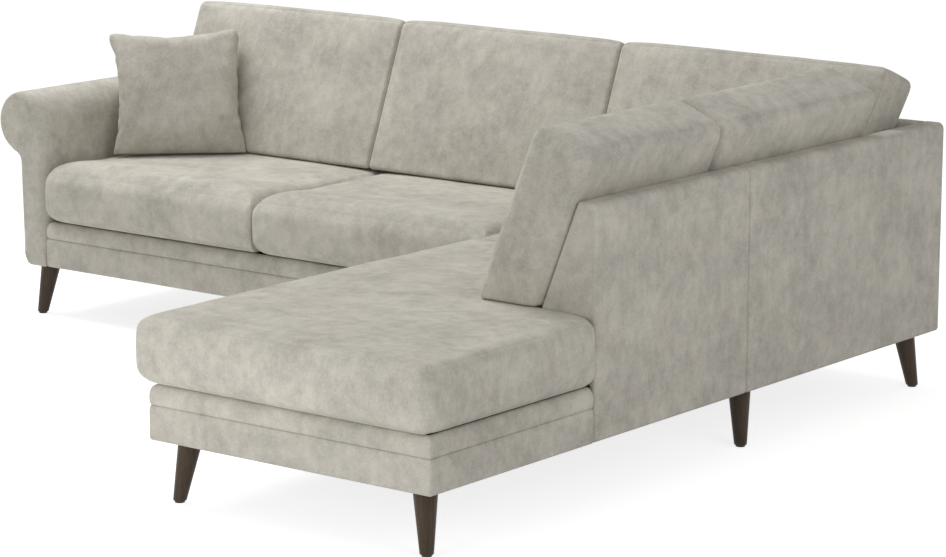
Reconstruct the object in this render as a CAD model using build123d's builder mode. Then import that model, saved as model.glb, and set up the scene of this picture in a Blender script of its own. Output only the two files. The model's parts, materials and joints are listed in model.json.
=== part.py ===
from build123d import *

import os
from dataclasses import dataclass
from math import cos, pi, radians, sin, tan

# A three-unit corner sofa: a two-seat unit with a roll arm on the left, a corner unit, and an
# open-ended chaise unit on the right. Loose cushions stand on raked, upholstered timber units.
# Millimetres, +X to the right along the back, +Y to the back, +Z up. The origin is on the floor,
# under the middle of the plan.

# Plan of the units, measured from the outer face of the back and of the right wall
inner_length = 2525.0  # inner face of the arm to the outer face of the right wall
chaise_width = 846.0
main_depth = 865.0
corner_depth = 945.0
wall_length = 1595.0  # outer face of the back to the front end of the right wall
chaise_depth = 2214.0
unit_gap = 0.5

# Base bands, from the legs up
leg_height = 153.0
lower_band = 85.0
upper_band = 50.0
base_pad = 20.0
base_corner = 12.0
band_draw = 11.0  # how far the edge of a band curls in
band_shape = ((0.0, 1.0), (0.25, 0.0), (0.75, 0.0), (1.0, 1.0))  # shares of height and draw

# Raked walls
wall_height = 570.0  # underside of the base to the top of the wall
wall_top = 56.0
recline = 21.5
apron = 20.0  # the skirt of the wall that covers the side of the base
wall_pad = 14.0
wall_outer_round = 18.0
wall_inner_round = 9.0
wall_foot_round = 10.0
wall_rib = 22.0
wall_rail = 45.0

# Roll arm
arm_thickness = 88.0
arm_taper = 8.0
arm_foot_round = 26.0
arm_pad = 14.0
roll_radius = 88.0
roll_height = 572.0
roll_under = 20.0  # a direction on the underside of the roll, below level
neck_round = 30.0
facing = 16.0
facing_bevel = 6.0
arm_rail = 60.0

# How every cushion rises from its ends: shoulders from the end, share of draw-in, share of crown
cushion_end = ((0.0, 1.0, 0.3), (0.7, 0.25, 0.6), (3.0, 0.0, 0.9))

# Seat cushions
soft_gap = 0.4  # clearance round a loose cushion
seat_edge = 164.0
seat_crown = 6.0
seat_nose = 9.0
seat_draw = 9.0
seat_shoulder = 30.0
seat_top_round = 26.0
seat_low_round = 38.0
seat_overhang = 25.0
seat_split = 955.0  # outer face of the back to the joint of the corner and chaise seats
left_bulge = 22.0
side_bulge = 10.0
front_bulge = 25.0

# Back and side cushions
back_thickness = 172.0
back_height = 396.0
back_swell = 14.0
back_draw = 9.0
back_shoulder = 28.0
back_round = 38.0
back_heel = 8.0
back_widths = (800.0, 787.0)  # the left and middle back cushions
corner_margin = 95.0  # outer face of the right wall to the end of the corner back cushion
side_split = 1030.0  # outer face of the back to the joint of the two side cushions
side_proud = 4.0
side_inset = 320.0  # outer face of the back to the rear end of the side cushions
side_clear = 8.0  # rear side cushion to the front of the corner back cushion

# Throw pillow
pillow_size = 400.0
pillow_thickness = 140.0
pillow_edge = 8.0
pillow_waist = 12.0
pillow_from_arm = 144.0
pillow_from_back = 435.0
pillow_turn = 44.0
pillow_tilt = 22.0
pillow_stand = 0.4  # share of the seat's crown that lies under the pillow's lower corners

# Timber, webbing and linings
rail_thickness = 22.0
glue_block = 110.0
deck_thickness = 6.0
webbing_thickness = 3.0
strap_width = 60.0
strap_pitch = 110.0
dust_thickness = 2.0

# Legs and fittings
leg_top = 56.0
leg_foot = 30.0
leg_inset = 70.0  # outer face of a unit to the middle of the top of a leg
arm_leg_inset = 62.0
leg_splay = 20.0
leg_sides = 24
glide_height = 4.0
glide_diameter = 24.0
plate_thickness = 3.0
plate_size = 48.0
stud_diameter = 8.0
stud_sides = 8
stud_length = 48.0
fit_gap = 0.2
connector_thickness = 3.0
connector_length = 110.0
connector_width = 44.0
connector_inset = 160.0

# Levels
base_top = leg_height + lower_band + upper_band
wall_top_z = leg_height + wall_height
deck_z = base_top - deck_thickness
frame_top = deck_z - webbing_thickness
frame_bottom = leg_height + dust_thickness
plate_z = frame_bottom - plate_thickness
seat_bottom = base_top + soft_gap
seat_edge_z = seat_bottom + seat_edge
lean_bottom = seat_edge_z + seat_crown + soft_gap

# Plan lines, with the origin under the middle of the whole plan
right_x = (inner_length + arm_thickness + roll_radius + side_bulge) / 2 - side_bulge
back_y = (chaise_depth + front_bulge) / 2
unit_x = right_x - chaise_width
arm_x = right_x - inner_length
arm_out_x = arm_x - arm_thickness
main_front = back_y - main_depth
corner_front = back_y - corner_depth
wall_front = back_y - wall_length
chaise_front = back_y - chaise_depth
seat_joint = back_y - seat_split
side_joint = back_y - side_split
tilt = radians(recline)


@dataclass
class Unit:
    """One floor unit: its plan and the tops of its legs."""

    name: str
    x_span: tuple
    y_span: tuple
    legs: tuple

    def size(self, inset):
        width = self.x_span[1] - self.x_span[0] - 2 * inset
        return width, self.y_span[1] - self.y_span[0] - 2 * inset

    def middle(self):
        return sum(self.x_span) / 2, sum(self.y_span) / 2


def save(piece, name):
    piece.label = name
    export_step(piece, f"parts/{name}.step")


def wall_depth(z):
    """Thickness of a raked wall at a height."""
    return wall_top + (wall_top_z - z) * tan(tilt)


def soft_outline(corners, rounds, swells):
    """Draw a closed outline, counter-clockwise: rounded corners, joined by sides that may swell."""
    points = [Vector(*corner) for corner in corners]
    arcs = []
    for index, corner in enumerate(points):
        back = (points[index - 1] - corner).normalized()
        ahead = (points[(index + 1) % len(points)] - corner).normalized()
        half = radians(back.get_angle(ahead)) / 2
        radius = rounds[index] * tan(half)
        middle = corner + (back + ahead).normalized() * (radius / sin(half) - radius)
        arcs.append((corner + back * rounds[index], middle, corner + ahead * rounds[index]))
    for index, (start, middle, end) in enumerate(arcs):
        if rounds[index]:
            ThreePointArc(start, middle, end)
        target = arcs[(index + 1) % len(arcs)][0]
        along = (target - end).normalized()
        if swells[index]:
            outward = Vector(along.Y, -along.X) * swells[index]
            ThreePointArc(end, (end + target) / 2 + outward, target)
        else:
            Line(end, target)


def stations(start, end, shoulder):
    """Places along a cushion, each with its share of the drawn-in end and of the crown."""
    places = [(start + step * shoulder, draw, crown) for step, draw, crown in cushion_end]
    places.append(((start + end) / 2, 0.0, 1.0))
    places += [(end - step * shoulder, draw, crown) for step, draw, crown in reversed(cushion_end)]
    return places


def seat_corners(front, rear, draw):
    """A seat cushion's section, from its front side to a rear that follows the raked wall."""
    nose, top = front + draw, seat_edge_z - draw
    return (nose, seat_bottom), (rear(seat_bottom), seat_bottom), (rear(top), top), (nose, top)


def lean_corners(outer_face, draw):
    """A leaning cushion's section, standing on the seat with its back on the raked wall."""
    heel = outer_face - wall_depth(lean_bottom) - soft_gap
    depth = back_thickness - draw
    height = back_height - draw
    rear_top = heel + height * sin(tilt), lean_bottom + height * cos(tilt)
    front_top = rear_top[0] - depth * cos(tilt), rear_top[1] + depth * sin(tilt)
    return (heel - depth / cos(tilt), lean_bottom), (heel, lean_bottom), rear_top, front_top


def wall_space(outer_face, gap):
    """The room that a raked wall takes above the base, with a clearance on its inner side."""
    low, high = base_top, lean_bottom + back_height + back_thickness
    return (
        (outer_face - wall_depth(low) - gap, low),
        (outer_face + wall_depth(low), low),
        (outer_face + wall_depth(low), high),
        (outer_face - wall_depth(high) - gap, high),
    )


seat_rounds = (seat_low_round, 0.0, seat_low_round, seat_top_round)
lean_rounds = (back_round, back_heel, back_round, back_round)


def main_seat(left, right):
    """A seat cushion of the two-seat unit: rounded nose, crowned top, raked rear."""
    front = main_front - seat_overhang + seat_nose
    with BuildPart() as cushion:
        for x, draw, crown in stations(left, right, seat_shoulder):
            with BuildSketch(Plane.YZ.offset(x)):
                with BuildLine():
                    corners = seat_corners(
                        front, lambda z: back_y - wall_depth(z) - soft_gap, draw * seat_draw
                    )
                    soft_outline(corners, seat_rounds, (0.0, 0.0, seat_crown * crown, seat_nose))
                make_face()
        loft(ruled=True)
    return cushion.part


def corner_seat():
    """The corner seat cushion, cut at the rear to follow the raked back."""
    left = unit_x - left_bulge + seat_nose
    with BuildPart() as cushion:
        for y, draw, crown in stations(seat_joint + soft_gap, back_y, seat_shoulder):
            with BuildSketch(Plane.XZ.offset(-y)):
                with BuildLine():
                    corners = seat_corners(
                        left, lambda z: right_x - wall_depth(z) - soft_gap, draw * seat_draw
                    )
                    soft_outline(corners, seat_rounds, (0.0, 0.0, seat_crown * crown, seat_nose))
                make_face()
        loft(ruled=True)
        with BuildSketch(Plane.YZ.offset(unit_x - chaise_width)):
            Polygon(*wall_space(back_y, soft_gap), align=None)
        extrude(amount=2 * chaise_width, mode=Mode.SUBTRACT)
    return cushion.part


def chaise_seat():
    """The long chaise cushion, full width in front of the side wall and notched round it."""
    left = unit_x - left_bulge + seat_nose
    right = right_x + side_bulge - seat_nose
    front = chaise_front - front_bulge
    rounds = (seat_low_round, seat_low_round, seat_top_round, seat_top_round)
    with BuildPart() as cushion:
        for y, draw, crown in stations(front, seat_joint - soft_gap, seat_shoulder):
            inset, top = draw * seat_draw, seat_edge_z - draw * seat_draw
            with BuildSketch(Plane.XZ.offset(-y)):
                with BuildLine():
                    soft_outline(
                        (
                            (left + inset, seat_bottom),
                            (right - inset, seat_bottom),
                            (right - inset, top),
                            (left + inset, top),
                        ),
                        rounds,
                        (0.0, seat_nose, seat_crown * crown, seat_nose),
                    )
                make_face()
        loft(ruled=True)
        with BuildSketch(Plane.XZ.offset(-seat_joint)):
            Polygon(*wall_space(right_x, soft_gap), align=None)
        extrude(amount=seat_joint - wall_front + soft_gap, mode=Mode.SUBTRACT)
    return cushion.part


def back_cushion(left, right):
    """A back cushion between two places along the back, cut where it meets the side wall."""
    with BuildPart() as cushion:
        for x, draw, crown in stations(left, right, back_shoulder):
            with BuildSketch(Plane.YZ.offset(x)):
                with BuildLine():
                    swells = (0.0, 0.0, 0.0, back_swell * crown)
                    soft_outline(lean_corners(back_y, draw * back_draw), lean_rounds, swells)
                make_face()
        loft(ruled=True)
        with BuildSketch(Plane.XZ.offset(-back_y)):
            Polygon(*wall_space(right_x, soft_gap), align=None)
        extrude(amount=corner_depth, mode=Mode.SUBTRACT)
    return cushion.part


def side_cushion(front, rear):
    """A cushion along the side wall, cut where it meets the front of the corner back cushion."""
    with BuildPart() as cushion:
        for y, draw, crown in stations(front, rear, back_shoulder):
            with BuildSketch(Plane.XZ.offset(-y)):
                with BuildLine():
                    swells = (0.0, 0.0, 0.0, back_swell * crown)
                    soft_outline(lean_corners(right_x, draw * back_draw), lean_rounds, swells)
                make_face()
        loft(ruled=True)
        reach = (back_thickness + back_swell + side_clear) / cos(tilt)
        with BuildSketch(Plane.YZ.offset(unit_x)):
            Polygon(*wall_space(back_y, reach), align=None)
        extrude(amount=chaise_width + wall_top, mode=Mode.SUBTRACT)
    return cushion.part


def throw_pillow():
    """A knife-edged square pillow that stands on the seat and leans into the corner of the arm."""
    turn, lean, half = radians(pillow_turn), radians(pillow_tilt), pillow_size / 2
    right = Vector(cos(turn), sin(turn), 0)
    ahead = Vector(sin(turn), -cos(turn), 0)
    facing_dir = ahead * cos(lean) + Vector(0, 0, 1) * sin(lean)
    stand_z = seat_edge_z + seat_crown * pillow_stand + soft_gap
    lift = half * cos(lean) + pillow_edge * sin(lean)
    centre = Vector(arm_x + pillow_from_arm, back_y - pillow_from_back, stand_z + lift)
    edge, swell, waist = pillow_edge / 2, pillow_thickness / 2, half - pillow_waist
    with BuildPart() as pillow:
        with BuildSketch(Plane(centre - facing_dir * swell, x_dir=right, z_dir=facing_dir)):
            with BuildLine():
                ThreePointArc((-half, -half), (0, -waist), (half, -half))
                ThreePointArc((half, -half), (waist, 0), (half, half))
                ThreePointArc((half, half), (0, waist), (-half, half))
                ThreePointArc((-half, half), (-waist, 0), (-half, -half))
            make_face()
        extrude(amount=pillow_thickness)
        for along in (right, facing_dir.cross(right)):
            with BuildSketch(Plane(centre - along * half, x_dir=facing_dir, z_dir=along)):
                with BuildLine():
                    Line((-edge, -half), (edge, -half))
                    ThreePointArc((edge, -half), (swell, 0), (edge, half))
                    Line((edge, half), (-edge, half))
                    ThreePointArc((-edge, half), (-swell, 0), (-edge, -half))
                make_face()
            extrude(amount=pillow_size, mode=Mode.INTERSECT)
    return pillow.part


def base_cover(unit):
    """The padded cover round a base: a lower band, a groove, and a rounded upper band."""
    bands = ((leg_height, lower_band), (leg_height + lower_band, upper_band))
    levels = [(low + tall * share, draw) for low, tall in bands for share, draw in band_shape]
    levels.remove((leg_height + lower_band, band_shape[0][1]))
    with BuildPart() as cover:
        for z, draw in levels:
            with BuildSketch(Plane.XY.offset(z)):
                with Locations(unit.middle()):
                    RectangleRounded(*unit.size(draw * band_draw), base_corner)
        loft(ruled=True)
        with BuildSketch(Plane.XY.offset(leg_height)):
            with Locations(unit.middle()):
                Rectangle(*unit.size(base_pad))
        extrude(amount=base_top - leg_height, mode=Mode.SUBTRACT)
        if unit.name == "chaise":
            with BuildSketch(Plane.XY.offset(leg_height)):
                with Locations((right_x - apron - unit_gap, wall_front - unit_gap)):
                    Rectangle(2 * apron, wall_length, align=Align.MIN)
            extrude(amount=base_top - leg_height, mode=Mode.SUBTRACT)
    return cover.part


def base_frame(unit):
    """Timber rails with a stretcher and a glue block in each corner, drilled for its fittings."""
    width, depth = unit.size(base_pad)
    inner = width - 2 * rail_thickness, depth - 2 * rail_thickness
    with BuildPart() as frame:
        with BuildSketch(Plane.XY.offset(frame_bottom)):
            with Locations(unit.middle()):
                Rectangle(width, depth)
                Rectangle(*inner, mode=Mode.SUBTRACT)
                Rectangle(*((rail_thickness, depth) if width > depth else (width, rail_thickness)))
                for x_side in (-1, 1):
                    for y_side in (-1, 1):
                        corner = x_side * inner[0] / 2, y_side * inner[1] / 2
                        Polygon(
                            corner,
                            (corner[0] - x_side * glue_block, corner[1]),
                            (corner[0], corner[1] - y_side * glue_block),
                            align=None,
                        )
        extrude(amount=frame_top - frame_bottom)
        with BuildSketch(Plane.XY.offset(frame_bottom)):
            with Locations(*unit.legs):
                RegularPolygon(stud_diameter / 2 + fit_gap, stud_sides)
        extrude(amount=stud_length + fit_gap, mode=Mode.SUBTRACT)
    return frame.part


def seat_deck(unit):
    """The lining sheet that the seat cushions rest on, level with the top of the base."""
    with BuildPart() as sheet:
        with BuildSketch(Plane.XY.offset(deck_z)):
            with Locations(unit.middle()):
                Rectangle(*unit.size(base_pad))
        extrude(amount=deck_thickness)
    return sheet.part


def dust_cover(unit):
    """The sheet that closes a base from below, cut out round each leg plate."""
    opening = plate_size + 2 * fit_gap
    with BuildPart() as sheet:
        with BuildSketch(Plane.XY.offset(leg_height)):
            with Locations(unit.middle()):
                Rectangle(*unit.size(base_pad))
            with Locations(*unit.legs):
                Rectangle(opening, opening, mode=Mode.SUBTRACT)
        extrude(amount=dust_thickness)
    return sheet.part


def seat_webbing(unit):
    """Elastic straps from the front rail to the rear rail, under the deck."""
    width, depth = unit.size(base_pad)
    count = int((width - strap_width) // strap_pitch)
    with BuildPart() as webbing:
        with BuildSketch(Plane.XY.offset(frame_top)):
            with Locations(unit.middle()):
                with GridLocations(strap_pitch, 0, count, 1):
                    Rectangle(strap_width, depth)
        extrude(amount=webbing_thickness)
    return webbing.part


def wall_outline(outer_face):
    """Section of a raked wall with its apron, drawn outwards from the inner foot."""
    corners = (
        (outer_face - apron, leg_height),
        (outer_face, leg_height),
        (outer_face, wall_top_z),
        (outer_face - wall_top, wall_top_z),
        (outer_face - wall_depth(base_top), base_top),
        (outer_face - apron, base_top),
    )
    rounds = (0.0, wall_foot_round, wall_outer_round, wall_inner_round, 0.0, 0.0)
    soft_outline(corners, rounds, (0.0,) * len(corners))


def wall_hollow(outer_face):
    """Section of the room inside a wall's padding, which its timber frame fills."""
    low, high = base_top + wall_pad, wall_top_z - wall_pad
    slope_pad = wall_pad / cos(tilt)
    return (
        (outer_face - wall_depth(low) + slope_pad, low),
        (outer_face - wall_pad, low),
        (outer_face - wall_pad, high),
        (outer_face - wall_depth(high) + slope_pad, high),
    )


def wall_cover(plane, outer_face, length):
    """A straight length of upholstered wall, hollow inside its padding."""
    with BuildPart() as cover:
        with BuildSketch(plane):
            with BuildLine():
                wall_outline(outer_face)
            make_face()
        extrude(amount=length)
        with BuildSketch(plane.offset(wall_pad)):
            Polygon(*wall_hollow(outer_face), align=None)
        extrude(amount=length - 2 * wall_pad, mode=Mode.SUBTRACT)
    return cover.part


def wall_frame(plane, outer_face, length):
    """Plywood ribs cut to the rake of the wall, joined by a top rail and a bottom rail."""
    low, outer, high, inner = wall_hollow(outer_face)
    span = length - 2 * wall_pad
    with BuildPart() as frame:
        for place in (0.0, (span - wall_rib) / 2, span - wall_rib):
            with BuildSketch(plane.offset(wall_pad + place)):
                Polygon(low, outer, high, inner, align=None)
            extrude(amount=wall_rib)
        with BuildSketch(plane.offset(wall_pad)):
            with Locations(outer):
                Rectangle(wall_rib, wall_rail, align=(Align.MAX, Align.MIN))
            with Locations(high):
                Rectangle(wall_rib, wall_rail, align=(Align.MAX, Align.MAX))
        extrude(amount=span)
    return frame.part


def corner_back_pieces():
    """The corner unit's back wall, whose end is cut to the rake of the side wall."""
    plane, length = Plane.YZ.offset(unit_x), chaise_width - apron
    with BuildPart() as cover:
        add(wall_cover(plane, back_y, length + wall_pad))
        with BuildSketch(Plane.XY.offset(leg_height)):
            with Locations((right_x - apron, back_y)):
                Rectangle(2 * apron, wall_depth(base_top) * 2, align=(Align.MIN, Align.CENTER))
        extrude(amount=wall_height, mode=Mode.SUBTRACT)
        with BuildSketch(Plane.XZ.offset(-back_y)):
            Polygon(*wall_space(right_x, 0.0), align=None)
        extrude(amount=wall_depth(base_top), mode=Mode.SUBTRACT)
    frame_length = chaise_width - wall_depth(base_top)
    return cover.part, wall_frame(plane, back_y, frame_length)


def arm_outline():
    """Section of the arm: a flat panel that turns over into a full roll above a hollow neck."""
    reach = roll_radius + neck_round
    drop = (reach**2 - neck_round**2) ** 0.5
    neck = Vector(arm_out_x - neck_round, roll_height - drop)
    roll = Vector(arm_out_x, roll_height)
    on_roll = roll + (neck - roll).normalized() * roll_radius
    on_panel = Vector(arm_out_x, neck.Y)
    in_neck = neck + (on_roll + on_panel - neck * 2).normalized() * neck_round
    foot_x = arm_out_x + arm_taper
    to_neck = (on_panel - Vector(foot_x, leg_height)).normalized()
    foot_end = Vector(foot_x, leg_height) + to_neck * arm_foot_round
    foot_mid = Vector(foot_x + arm_foot_round, leg_height + arm_foot_round) + Vector(
        -arm_foot_round, -arm_foot_round
    ) * cos(radians(45))
    lower_left = roll + Vector(-roll_radius, 0).rotate(Axis.Z, roll_under)
    Line((foot_x + arm_foot_round, leg_height), (arm_x, leg_height))
    Line((arm_x, leg_height), (arm_x, roll_height))
    ThreePointArc((arm_x, roll_height), roll + Vector(0, roll_radius), roll - Vector(roll_radius, 0))
    ThreePointArc(roll - Vector(roll_radius, 0), lower_left, on_roll)
    ThreePointArc(on_roll, in_neck, on_panel)
    Line(on_panel, foot_end)
    ThreePointArc(foot_end, foot_mid, (foot_x + arm_foot_round, leg_height))


def arm_hollow():
    """Section of the room inside the arm panel, open at the bottom, for the arm frame."""
    low, high = leg_height, roll_height - roll_radius
    left, right = arm_out_x + arm_taper + arm_pad, arm_x - arm_pad
    return (left, low), (right, low), (right, high), (left, high)


def arm_cover():
    """The arm's padded cover between its two facings."""
    with BuildPart() as cover:
        with BuildSketch(Plane.XZ.offset(-(back_y - facing))):
            with BuildLine():
                arm_outline()
            make_face()
            Polygon(*arm_hollow(), align=None, mode=Mode.SUBTRACT)
        extrude(amount=main_depth - 2 * facing)
    return cover.part


def arm_facing(inner_y, outward):
    """The scroll-shaped panel that closes one end of the arm, with a bevelled outer edge."""
    with BuildPart() as panel:
        with BuildSketch(Plane.XZ.offset(-inner_y)):
            with BuildLine():
                arm_outline()
            make_face()
        extrude(amount=-outward * facing)
        outer_faces = panel.faces().filter_by(Axis.Y).sort_by(Axis.Y)
        outer_face = outer_faces[-1] if outward > 0 else outer_faces[0]
        chamfer(outer_face.edges(), facing_bevel)
    return panel.part


def arm_frame():
    """Timber inside the arm: a bottom rail that takes the legs, a top rail and two posts."""
    low_left, low_right, high_right, _ = arm_hollow()
    width, length = low_right[0] - low_left[0], main_depth - 2 * facing
    middle = (low_left[0] + low_right[0]) / 2
    with BuildPart() as frame:
        with BuildSketch(Plane.XZ.offset(-(back_y - facing))):
            with Locations((middle, frame_bottom)):
                Rectangle(width, arm_rail, align=(Align.CENTER, Align.MIN))
            with Locations(high_right):
                Rectangle(width, arm_rail, align=Align.MAX)
        extrude(amount=length)
        with BuildSketch(Plane.XY.offset(frame_bottom)):
            with Locations((middle, back_y - main_depth / 2)):
                with GridLocations(0, length - arm_rail, 1, 2):
                    Rectangle(width, arm_rail)
        extrude(amount=high_right[1] - frame_bottom)
        with BuildSketch(Plane.XY.offset(frame_bottom)):
            with Locations(*arm_legs.values()):
                RegularPolygon(stud_diameter / 2 + fit_gap, stud_sides)
        extrude(amount=stud_length + fit_gap, mode=Mode.SUBTRACT)
    return frame.part


def foot_of(top, lean):
    """Where a splayed leg meets the floor, below and outside its top."""
    return top[0] + lean[0] * leg_splay, top[1] + lean[1] * leg_splay


def ring(middle, diameter, z):
    """The corners of a many-sided ring round a leg's axis."""
    turns = [2 * pi * side / leg_sides for side in range(leg_sides)]
    radius = diameter / 2
    return [(middle[0] + radius * cos(turn), middle[1] + radius * sin(turn), z) for turn in turns]


def leg(top, lean):
    """A tapered leg, splayed and cut level at both ends, with the stud that holds it."""
    low = ring(foot_of(top, lean), leg_foot, glide_height)
    high = ring(top, leg_top, plate_z)
    corners = [(low[side - 1], low[side], high[side], high[side - 1]) for side in range(leg_sides)]
    skin = [Face(Wire.make_polygon(outline)) for outline in (*corners, low, high)]
    with BuildPart() as post:
        add(Solid(Shell(skin)))
        with BuildSketch(Plane.XY.offset(plate_z)):
            with Locations(top):
                RegularPolygon(stud_diameter / 2, stud_sides)
        extrude(amount=plate_thickness + stud_length)
    return post.part


def leg_plates():
    """The steel plates on the frames that the legs' studs go up through."""
    with BuildPart() as plates:
        with BuildSketch(Plane.XY.offset(plate_z)):
            with Locations(*[top for top, _ in legs.values()]):
                Rectangle(plate_size, plate_size)
                RegularPolygon(stud_diameter / 2 + fit_gap, stud_sides, mode=Mode.SUBTRACT)
        extrude(amount=plate_thickness)
    return plates.part


def leg_glides():
    """The plastic glides that the legs stand on."""
    with BuildPart() as glides:
        with BuildSketch():
            with Locations(*[foot_of(top, lean) for top, lean in legs.values()]):
                RegularPolygon(glide_diameter / 2, leg_sides)
        extrude(amount=glide_height)
    return glides.part


def connector_plates():
    """Flat steel plates under the units that bridge the joints between them."""
    with BuildPart() as plates:
        with BuildSketch(Plane.XY.offset(leg_height - connector_thickness)):
            with Locations(*left_joints):
                Rectangle(connector_length, connector_width)
            with Locations(*chaise_joints):
                Rectangle(connector_width, connector_length)
        extrude(amount=connector_thickness)
    return plates.part


# Joints between the units, where the connector plates go
left_joints = ((unit_x, main_front + connector_inset), (unit_x, back_y - apron - connector_inset))
chaise_joints = (
    (unit_x + connector_inset, corner_front),
    (right_x - apron - connector_inset, corner_front),
)

# Legs, by the unit that each one carries
arm_mid_x = arm_x - arm_thickness / 2 + arm_taper / 2
arm_legs = {
    "arm_front": (arm_mid_x, main_front + arm_leg_inset),
    "arm_back": (arm_mid_x, back_y - arm_leg_inset),
}
left_legs = {
    "left_inner_front": (unit_x - leg_inset, main_front + leg_inset),
    "left_inner_back": (unit_x - leg_inset, back_y - leg_inset),
}
corner_legs = {
    "corner_inner_front": (unit_x + leg_inset, corner_front + leg_inset),
    "corner_inner_back": (unit_x + leg_inset, back_y - leg_inset),
    "corner_front": (right_x - leg_inset, corner_front + leg_inset),
    "corner_back": (right_x - leg_inset, back_y - leg_inset),
}
chaise_legs = {
    "chaise_left": (unit_x + leg_inset, chaise_front + leg_inset),
    "chaise_right": (right_x - leg_inset, chaise_front + leg_inset),
}
leans = {
    "arm_front": (-1, -1),
    "arm_back": (-1, 1),
    "left_inner_front": (1, -1),
    "left_inner_back": (1, 1),
    "corner_inner_front": (-1, -1),
    "corner_inner_back": (-1, 1),
    "corner_front": (1, -1),
    "corner_back": (1, 1),
    "chaise_left": (-1, -1),
    "chaise_right": (1, -1),
}
leg_tops = {**arm_legs, **left_legs, **corner_legs, **chaise_legs}
legs = {name: (top, leans[name]) for name, top in leg_tops.items()}

base_back = back_y - apron - unit_gap
units = (
    Unit(
        "left",
        (arm_x + unit_gap, unit_x - unit_gap / 2),
        (main_front, base_back),
        tuple(left_legs.values()),
    ),
    Unit(
        "corner",
        (unit_x + unit_gap / 2, right_x - apron - unit_gap),
        (corner_front + unit_gap / 2, base_back),
        tuple(corner_legs.values()),
    ),
    Unit(
        "chaise",
        (unit_x, right_x),
        (chaise_front, corner_front - unit_gap / 2),
        tuple(chaise_legs.values()),
    ),
)

os.makedirs("parts", exist_ok=True)

# Bases
for unit in units:
    save(base_cover(unit), f"{unit.name}_base_cover")
    save(base_frame(unit), f"{unit.name}_base_frame")
    save(seat_webbing(unit), f"{unit.name}_webbing")
    save(seat_deck(unit), f"{unit.name}_seat_deck")
    save(dust_cover(unit), f"{unit.name}_dust_cover")

# Raked walls
left_start, left_end = units[0].x_span
left_plane, left_length = Plane.YZ.offset(left_start), left_end - left_start
save(wall_cover(left_plane, back_y, left_length), "left_back_cover")
save(wall_frame(left_plane, back_y, left_length), "left_back_frame")
corner_back_cover, corner_back_frame = corner_back_pieces()
save(corner_back_cover, "corner_back_cover")
save(corner_back_frame, "corner_back_frame")
side_plane, side_length = Plane.XZ.offset(-back_y), corner_depth - unit_gap / 2
save(wall_cover(side_plane, right_x, side_length), "corner_side_cover")
save(wall_frame(side_plane, right_x, side_length), "corner_side_frame")
end_plane, end_length = Plane.XZ.offset(-corner_front + unit_gap / 2), wall_length - corner_depth
save(wall_cover(end_plane, right_x, end_length), "chaise_side_cover")
save(wall_frame(end_plane, right_x, end_length), "chaise_side_frame")

# Arm
save(arm_cover(), "arm_cover")
save(arm_frame(), "arm_frame")
save(arm_facing(main_front + facing, -1), "arm_front_facing")
save(arm_facing(back_y - facing, 1), "arm_back_facing")

# Legs and fittings
for name, (top, lean) in legs.items():
    save(leg(top, lean), f"leg_{name}")
save(leg_plates(), "leg_plates")
save(leg_glides(), "leg_glides")
save(connector_plates(), "connector_plates")

# Loose cushions
seat_right = unit_x - left_bulge - 2 * soft_gap
seat_middle = (arm_x + seat_right) / 2
save(main_seat(arm_x + soft_gap, seat_middle - soft_gap / 2), "seat_cushion_left")
save(main_seat(seat_middle + soft_gap / 2, seat_right), "seat_cushion_middle")
save(corner_seat(), "seat_cushion_corner")
save(chaise_seat(), "seat_cushion_chaise")
left_back_end = arm_x + back_widths[0]
middle_back_end = left_back_end + back_widths[1]
save(back_cushion(arm_x + soft_gap, left_back_end), "back_cushion_left")
save(back_cushion(left_back_end + soft_gap, middle_back_end), "back_cushion_middle")
save(back_cushion(middle_back_end + soft_gap, right_x - corner_margin), "back_cushion_corner")
save(side_cushion(side_joint + soft_gap, back_y - side_inset), "side_cushion_rear")
save(side_cushion(wall_front - side_proud, side_joint), "side_cushion_front")
save(throw_pillow(), "throw_pillow")
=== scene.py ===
import json
import math

import bmesh
import bpy
import numpy as np
from mathutils import Matrix, Vector, kdtree, noise
from numpy.linalg import norm


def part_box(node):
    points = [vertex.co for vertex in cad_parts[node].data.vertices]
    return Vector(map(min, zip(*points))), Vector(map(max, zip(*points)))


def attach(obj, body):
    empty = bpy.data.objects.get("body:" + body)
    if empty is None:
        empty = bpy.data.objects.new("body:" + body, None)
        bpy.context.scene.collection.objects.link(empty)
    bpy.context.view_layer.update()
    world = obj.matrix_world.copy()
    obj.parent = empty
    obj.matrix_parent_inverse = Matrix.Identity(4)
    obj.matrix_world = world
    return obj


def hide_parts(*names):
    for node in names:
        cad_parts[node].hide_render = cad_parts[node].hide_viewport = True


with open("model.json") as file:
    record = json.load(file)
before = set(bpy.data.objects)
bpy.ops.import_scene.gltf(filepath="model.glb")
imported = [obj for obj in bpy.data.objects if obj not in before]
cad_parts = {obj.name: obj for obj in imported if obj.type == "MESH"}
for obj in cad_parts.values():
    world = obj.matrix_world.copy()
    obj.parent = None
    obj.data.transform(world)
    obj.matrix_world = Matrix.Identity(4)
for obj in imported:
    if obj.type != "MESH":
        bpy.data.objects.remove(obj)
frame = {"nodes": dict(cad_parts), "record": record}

scene = bpy.context.scene
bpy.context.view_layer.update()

# Places that several pieces share, in metres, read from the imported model
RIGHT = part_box("chaise_side_cover")[1].x
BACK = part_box("left_back_cover")[1].y
WALL_TOP_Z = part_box("left_back_cover")[1].z
BASE_BOTTOM, BASE_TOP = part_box("left_base_cover")[0].z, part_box("left_base_cover")[1].z
WALL_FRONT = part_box("chaise_side_cover")[0].y
ARM_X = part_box("arm_cover")[1].x  # the arm's inner side
SEAT_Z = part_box("seat_cushion_left")[0].z
LEAN_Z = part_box("back_cushion_left")[0].z

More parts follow.
